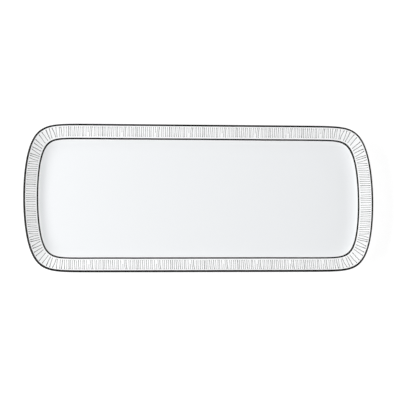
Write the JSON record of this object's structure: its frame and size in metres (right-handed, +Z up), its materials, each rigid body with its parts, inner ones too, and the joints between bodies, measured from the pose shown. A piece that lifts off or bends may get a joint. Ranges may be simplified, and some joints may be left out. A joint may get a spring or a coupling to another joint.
{
  "type": "china serving platter",
  "caption": "Long porcelain serving platter with bowed ends, a broad sloping rim bordered by hatching between black lines, a shallow well and a bare foot ring.",
  "frame": {"origin": "middle of the plane that the foot ring stands on, under the centre of the platter", "axes": "+X along the platter's length, +Y across its width towards the back, +Z up out of the well"},
  "size_m": [0.392, 0.1646, 0.0185],
  "materials": {
    "glazed_porcelain": "clear gloss glaze over fine white porcelain",
    "bare_porcelain": "unglazed, ground matt",
    "black_enamel": "gloss black enamel fired on the glaze",
    "grey_transfer": "dark grey strokes printed as a transfer and fired on the glaze"
  },
  "bodies": {
    "root": {"platter_body": "glazed_porcelain", "foot_ring": "bare_porcelain", "edge_line": "black_enamel", "inner_line": "black_enamel", "hatch_back": "grey_transfer", "hatch_front": "grey_transfer", "hatch_left": "grey_transfer", "hatch_right": "grey_transfer"}
  },
  "joints": []
}
